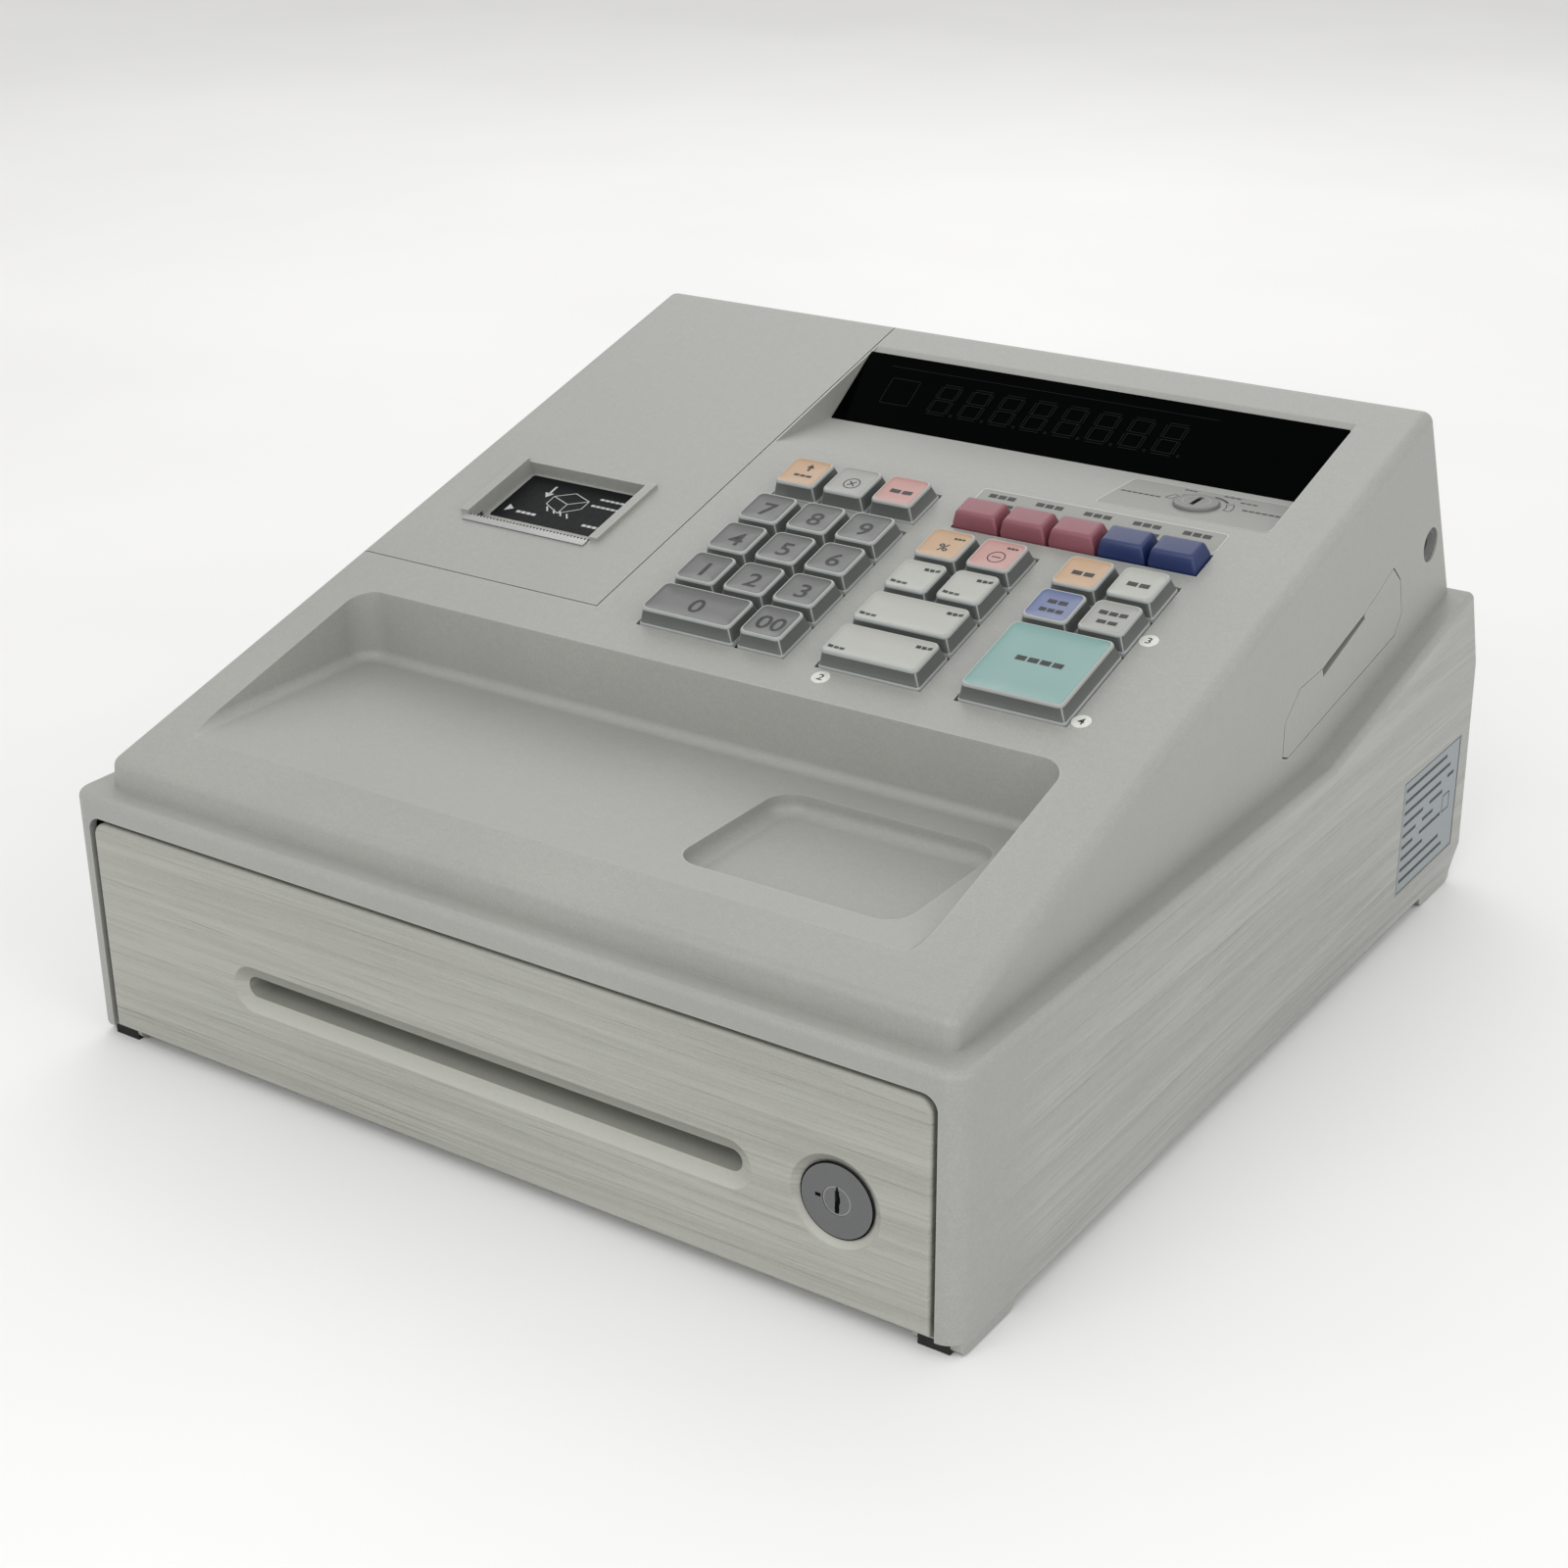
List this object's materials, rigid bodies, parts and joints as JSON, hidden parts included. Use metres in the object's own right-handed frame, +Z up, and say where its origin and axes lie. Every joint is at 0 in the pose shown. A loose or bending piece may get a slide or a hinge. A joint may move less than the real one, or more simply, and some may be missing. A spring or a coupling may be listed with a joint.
{
  "type": "cash register",
  "caption": "Sloping counter-top cash register with a keyboard, a display, a receipt printer under a hinged cover, a money tray and a sliding cash drawer with a lock.",
  "frame": {"origin": "under the middle of the case, on the surface the feet stand on", "axes": "+X to the right as the clerk faces it, +Y to the back, +Z up"},
  "size_m": [0.335, 0.364, 0.1878],
  "materials": {
    "case_plastic": "fine grain",
    "drawer_plastic": "embossed streaks",
    "sheet_steel": "zinc plated",
    "rubber": "matt",
    "screw_steel": "zinc plated",
    "number_key": "dark insert under a clear cap",
    "orange_key": "insert under a clear cap",
    "pink_key": "insert under a clear cap",
    "grey_key": "insert under a clear cap",
    "white_key": "insert under a clear cap",
    "blue_key": "insert under a clear cap",
    "teal_key": "insert under a clear cap",
    "mauve_key": "moulded",
    "navy_key": "moulded",
    "inner_plastic": "dark",
    "circuit_board": "solder mask",
    "display_black": "smoked",
    "tube_glass": "vacuum tube",
    "lock_metal": "satin",
    "lock_grey": "satin",
    "cell_wrap": "printed",
    "paper": "smooth",
    "till_plastic": "textured",
    "drive_plastic": "acetal"
  },
  "bodies": {
    "case": {"lower_case": "case_plastic", "base_plate": "sheet_steel", "case_screws": "screw_steel", "rubber_feet": "rubber", "upper_case": "case_plastic", "battery_cells": "cell_wrap", "jack_socket": "inner_plastic", "key_frame": "inner_plastic", "main_board": "circuit_board", "display_window": "display_black", "display_tube": "tube_glass", "mode_switch_body": "inner_plastic", "printer_chassis": "inner_plastic"},
    "key_7": {"key_7": "number_key"},
    "key_8": {"key_8": "number_key"},
    "key_9": {"key_9": "number_key"},
    "key_4": {"key_4": "number_key"},
    "key_5": {"key_5": "number_key"},
    "key_6": {"key_6": "number_key"},
    "key_1": {"key_1": "number_key"},
    "key_2": {"key_2": "number_key"},
    "key_3": {"key_3": "number_key"},
    "key_00": {"key_00": "number_key"},
    "key_0": {"key_0": "number_key"},
    "key_feed": {"key_feed": "orange_key"},
    "key_multiply": {"key_multiply": "grey_key"},
    "key_clear": {"key_clear": "pink_key"},
    "key_percent": {"key_percent": "orange_key"},
    "key_minus": {"key_minus": "pink_key"},
    "key_group_3": {"key_group_3": "white_key"},
    "key_group_4": {"key_group_4": "white_key"},
    "key_group_2": {"key_group_2": "white_key"},
    "key_group_1": {"key_group_1": "white_key"},
    "key_credit": {"key_credit": "orange_key"},
    "key_voucher": {"key_voucher": "white_key"},
    "key_shift": {"key_shift": "blue_key"},
    "key_subtotal": {"key_subtotal": "grey_key"},
    "key_total": {"key_total": "teal_key"},
    "key_function_1": {"key_function_1": "mauve_key"},
    "key_function_2": {"key_function_2": "mauve_key"},
    "key_function_3": {"key_function_3": "mauve_key"},
    "key_function_4": {"key_function_4": "navy_key"},
    "key_function_5": {"key_function_5": "navy_key"},
    "mode_lock": {"mode_lock_barrel": "lock_metal"},
    "printer_lid": {"printer_cover": "case_plastic", "tear_bar": "screw_steel"},
    "platen": {"platen_roller": "rubber"},
    "drive_gear": {"printer_drive_gear": "drive_plastic"},
    "receipt_roll": {"paper_roll": "paper"},
    "battery_hatch": {"battery_cover": "case_plastic"},
    "drawer": {"drawer_front": "drawer_plastic", "drawer_box": "sheet_steel", "till_insert": "till_plastic", "drawer_lock_housing": "lock_grey", "drawer_catch": "sheet_steel"},
    "drawer_key": {"drawer_lock_plug": "lock_metal"},
    "clip_1": {"note_clip_1": "till_plastic"},
    "clip_2": {"note_clip_2": "till_plastic"},
    "clip_3": {"note_clip_3": "till_plastic"},
    "latch": {"drawer_latch": "sheet_steel"}
  },
  "joints": [
    {"name": "key_7_press", "type": "slide", "parent": "case", "child": "key_7", "axis": [0, 0.2773, -0.9608], "range_m": [0, 0.0028], "stiffness_N_per_m": 150, "springref_m": -0.002},
    {"name": "key_8_press", "type": "slide", "parent": "case", "child": "key_8", "axis": [0, 0.2773, -0.9608], "range_m": [0, 0.0028], "stiffness_N_per_m": 150, "springref_m": -0.002},
    {"name": "key_9_press", "type": "slide", "parent": "case", "child": "key_9", "axis": [0, 0.2773, -0.9608], "range_m": [0, 0.0028], "stiffness_N_per_m": 150, "springref_m": -0.002},
    {"name": "key_4_press", "type": "slide", "parent": "case", "child": "key_4", "axis": [0, 0.2773, -0.9608], "range_m": [0, 0.0028], "stiffness_N_per_m": 150, "springref_m": -0.002},
    {"name": "key_5_press", "type": "slide", "parent": "case", "child": "key_5", "axis": [0, 0.2773, -0.9608], "range_m": [0, 0.0028], "stiffness_N_per_m": 150, "springref_m": -0.002},
    {"name": "key_6_press", "type": "slide", "parent": "case", "child": "key_6", "axis": [0, 0.2773, -0.9608], "range_m": [0, 0.0028], "stiffness_N_per_m": 150, "springref_m": -0.002},
    {"name": "key_1_press", "type": "slide", "parent": "case", "child": "key_1", "axis": [0, 0.2773, -0.9608], "range_m": [0, 0.0028], "stiffness_N_per_m": 150, "springref_m": -0.002},
    {"name": "key_2_press", "type": "slide", "parent": "case", "child": "key_2", "axis": [0, 0.2773, -0.9608], "range_m": [0, 0.0028], "stiffness_N_per_m": 150, "springref_m": -0.002},
    {"name": "key_3_press", "type": "slide", "parent": "case", "child": "key_3", "axis": [0, 0.2773, -0.9608], "range_m": [0, 0.0028], "stiffness_N_per_m": 150, "springref_m": -0.002},
    {"name": "key_00_press", "type": "slide", "parent": "case", "child": "key_00", "axis": [0, 0.2773, -0.9608], "range_m": [0, 0.0028], "stiffness_N_per_m": 150, "springref_m": -0.002},
    {"name": "key_0_press", "type": "slide", "parent": "case", "child": "key_0", "axis": [0, 0.2773, -0.9608], "range_m": [0, 0.0028], "stiffness_N_per_m": 150, "springref_m": -0.002},
    {"name": "key_feed_press", "type": "slide", "parent": "case", "child": "key_feed", "axis": [0, 0.2773, -0.9608], "range_m": [0, 0.0028], "stiffness_N_per_m": 150, "springref_m": -0.002},
    {"name": "key_multiply_press", "type": "slide", "parent": "case", "child": "key_multiply", "axis": [0, 0.2773, -0.9608], "range_m": [0, 0.0028], "stiffness_N_per_m": 150, "springref_m": -0.002},
    {"name": "key_clear_press", "type": "slide", "parent": "case", "child": "key_clear", "axis": [0, 0.2773, -0.9608], "range_m": [0, 0.0028], "stiffness_N_per_m": 150, "springref_m": -0.002},
    {"name": "key_percent_press", "type": "slide", "parent": "case", "child": "key_percent", "axis": [0, 0.2773, -0.9608], "range_m": [0, 0.0028], "stiffness_N_per_m": 150, "springref_m": -0.002},
    {"name": "key_minus_press", "type": "slide", "parent": "case", "child": "key_minus", "axis": [0, 0.2773, -0.9608], "range_m": [0, 0.0028], "stiffness_N_per_m": 150, "springref_m": -0.002},
    {"name": "key_group_3_press", "type": "slide", "parent": "case", "child": "key_group_3", "axis": [0, 0.2773, -0.9608], "range_m": [0, 0.0028], "stiffness_N_per_m": 150, "springref_m": -0.002},
    {"name": "key_group_4_press", "type": "slide", "parent": "case", "child": "key_group_4", "axis": [0, 0.2773, -0.9608], "range_m": [0, 0.0028], "stiffness_N_per_m": 150, "springref_m": -0.002},
    {"name": "key_group_2_press", "type": "slide", "parent": "case", "child": "key_group_2", "axis": [0, 0.2773, -0.9608], "range_m": [0, 0.0028], "stiffness_N_per_m": 150, "springref_m": -0.002},
    {"name": "key_group_1_press", "type": "slide", "parent": "case", "child": "key_group_1", "axis": [0, 0.2773, -0.9608], "range_m": [0, 0.0028], "stiffness_N_per_m": 150, "springref_m": -0.002},
    {"name": "key_credit_press", "type": "slide", "parent": "case", "child": "key_credit", "axis": [0, 0.2773, -0.9608], "range_m": [0, 0.0028], "stiffness_N_per_m": 150, "springref_m": -0.002},
    {"name": "key_voucher_press", "type": "slide", "parent": "case", "child": "key_voucher", "axis": [0, 0.2773, -0.9608], "range_m": [0, 0.0028], "stiffness_N_per_m": 150, "springref_m": -0.002},
    {"name": "key_shift_press", "type": "slide", "parent": "case", "child": "key_shift", "axis": [0, 0.2773, -0.9608], "range_m": [0, 0.0028], "stiffness_N_per_m": 150, "springref_m": -0.002},
    {"name": "key_subtotal_press", "type": "slide", "parent": "case", "child": "key_subtotal", "axis": [0, 0.2773, -0.9608], "range_m": [0, 0.0028], "stiffness_N_per_m": 150, "springref_m": -0.002},
    {"name": "key_total_press", "type": "slide", "parent": "case", "child": "key_total", "axis": [0, 0.2773, -0.9608], "range_m": [0, 0.0028], "stiffness_N_per_m": 150, "springref_m": -0.002},
    {"name": "key_function_1_press", "type": "slide", "parent": "case", "child": "key_function_1", "axis": [0, 0.2773, -0.9608], "range_m": [0, 0.0028], "stiffness_N_per_m": 150, "springref_m": -0.002},
    {"name": "key_function_2_press", "type": "slide", "parent": "case", "child": "key_function_2", "axis": [0, 0.2773, -0.9608], "range_m": [0, 0.0028], "stiffness_N_per_m": 150, "springref_m": -0.002},
    {"name": "key_function_3_press", "type": "slide", "parent": "case", "child": "key_function_3", "axis": [0, 0.2773, -0.9608], "range_m": [0, 0.0028], "stiffness_N_per_m": 150, "springref_m": -0.002},
    {"name": "key_function_4_press", "type": "slide", "parent": "case", "child": "key_function_4", "axis": [0, 0.2773, -0.9608], "range_m": [0, 0.0028], "stiffness_N_per_m": 150, "springref_m": -0.002},
    {"name": "key_function_5_press", "type": "slide", "parent": "case", "child": "key_function_5", "axis": [0, 0.2773, -0.9608], "range_m": [0, 0.0028], "stiffness_N_per_m": 150, "springref_m": -0.002},
    {"name": "mode_turn", "type": "hinge", "parent": "case", "child": "mode_lock", "pos_m": [0.1053, 0.0703, 0.16442], "axis": [0, 0, 1], "range_deg": [-60, 90]},
    {"name": "printer_lid_hinge", "type": "hinge", "parent": "case", "child": "printer_lid", "pos_m": [-0.106, 0.14339, 0.1775], "axis": [-1, 0, 0], "range_deg": [0, 80]},
    {"name": "platen_spin", "type": "hinge", "parent": "case", "child": "platen", "pos_m": [-0.107, 0.004, 0.126], "axis": [1, 0, 0], "continuous": true},
    {"name": "drive_spin", "type": "hinge", "parent": "case", "child": "drive_gear", "pos_m": [-0.075, 0.019, 0.126], "axis": [1, 0, 0], "continuous": true},
    {"name": "roll_spin", "type": "hinge", "parent": "case", "child": "receipt_roll", "pos_m": [-0.107, 0.076, 0.131], "axis": [1, 0, 0], "continuous": true},
    {"name": "battery_hatch_hinge", "type": "hinge", "parent": "case", "child": "battery_hatch", "pos_m": [0.1588, 0.035, 0.0992], "axis": [0, 0.985, 0.1724], "range_deg": [0, 75]},
    {"name": "drawer_slide", "type": "slide", "parent": "case", "child": "drawer", "axis": [0, -1, 0], "range_m": [0, 0.24]},
    {"name": "drawer_key_turn", "type": "hinge", "parent": "drawer", "child": "drawer_key", "pos_m": [0.1277, -0.176, 0.0383], "axis": [0, -1, 0], "range_deg": [0, 90]},
    {"name": "clip_1_lift", "type": "hinge", "parent": "drawer", "child": "clip_1", "pos_m": [-0.0988, 0.1052, 0.073], "axis": [-1, 0, 0], "range_deg": [0, 35], "stiffness_Nm_per_rad": 0.03, "springref_deg": -28.65},
    {"name": "clip_2_lift", "type": "hinge", "parent": "drawer", "child": "clip_2", "pos_m": [0, 0.1052, 0.073], "axis": [-1, 0, 0], "range_deg": [0, 35], "stiffness_Nm_per_rad": 0.03, "springref_deg": -28.65},
    {"name": "clip_3_lift", "type": "hinge", "parent": "drawer", "child": "clip_3", "pos_m": [0.0988, 0.1052, 0.073], "axis": [-1, 0, 0], "range_deg": [0, 35], "stiffness_Nm_per_rad": 0.03, "springref_deg": -28.65},
    {"name": "latch_lift", "type": "hinge", "parent": "case", "child": "latch", "pos_m": [0, 0.15, 0.014], "axis": [-1, 0, 0], "range_deg": [0, 12], "stiffness_Nm_per_rad": 0.03, "springref_deg": -22.92}
  ],
  "couplings": [
    {"joint": "drive_spin", "follows": "platen_spin", "ratio": -1.5}
  ]
}
